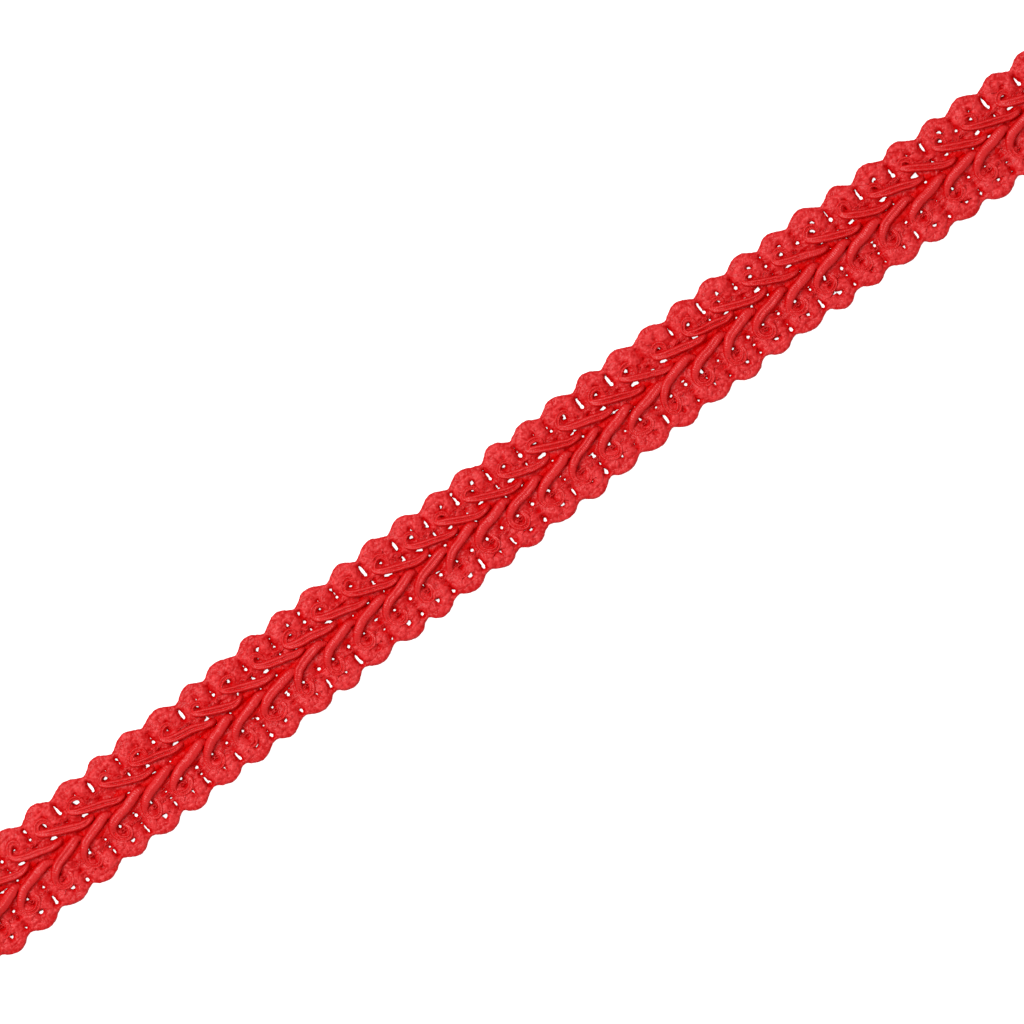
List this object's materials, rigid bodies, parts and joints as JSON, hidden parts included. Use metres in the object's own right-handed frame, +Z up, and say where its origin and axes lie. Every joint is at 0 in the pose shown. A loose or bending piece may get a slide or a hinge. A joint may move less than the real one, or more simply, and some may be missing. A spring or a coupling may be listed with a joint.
{
  "type": "cut length of gimp braid",
  "caption": "Flat narrow trimming braid with a chevron of raised gimp cords along its middle, curled eyes and scalloped looped edges.",
  "frame": {"origin": "centre of the braid's box on the surface that it lies on", "axes": "+X along the braid, the way its chevrons point, +Y across it, +Z up out of its face"},
  "size_m": [0.1584, 0.0134, 0.0018],
  "materials": {
    "braid": "red viscose gimp cord, soft satin sheen on the raised cords and a fluffier matt edge loop"
  },
  "bodies": {
    "root": {"braid": "braid"}
  },
  "joints": []
}
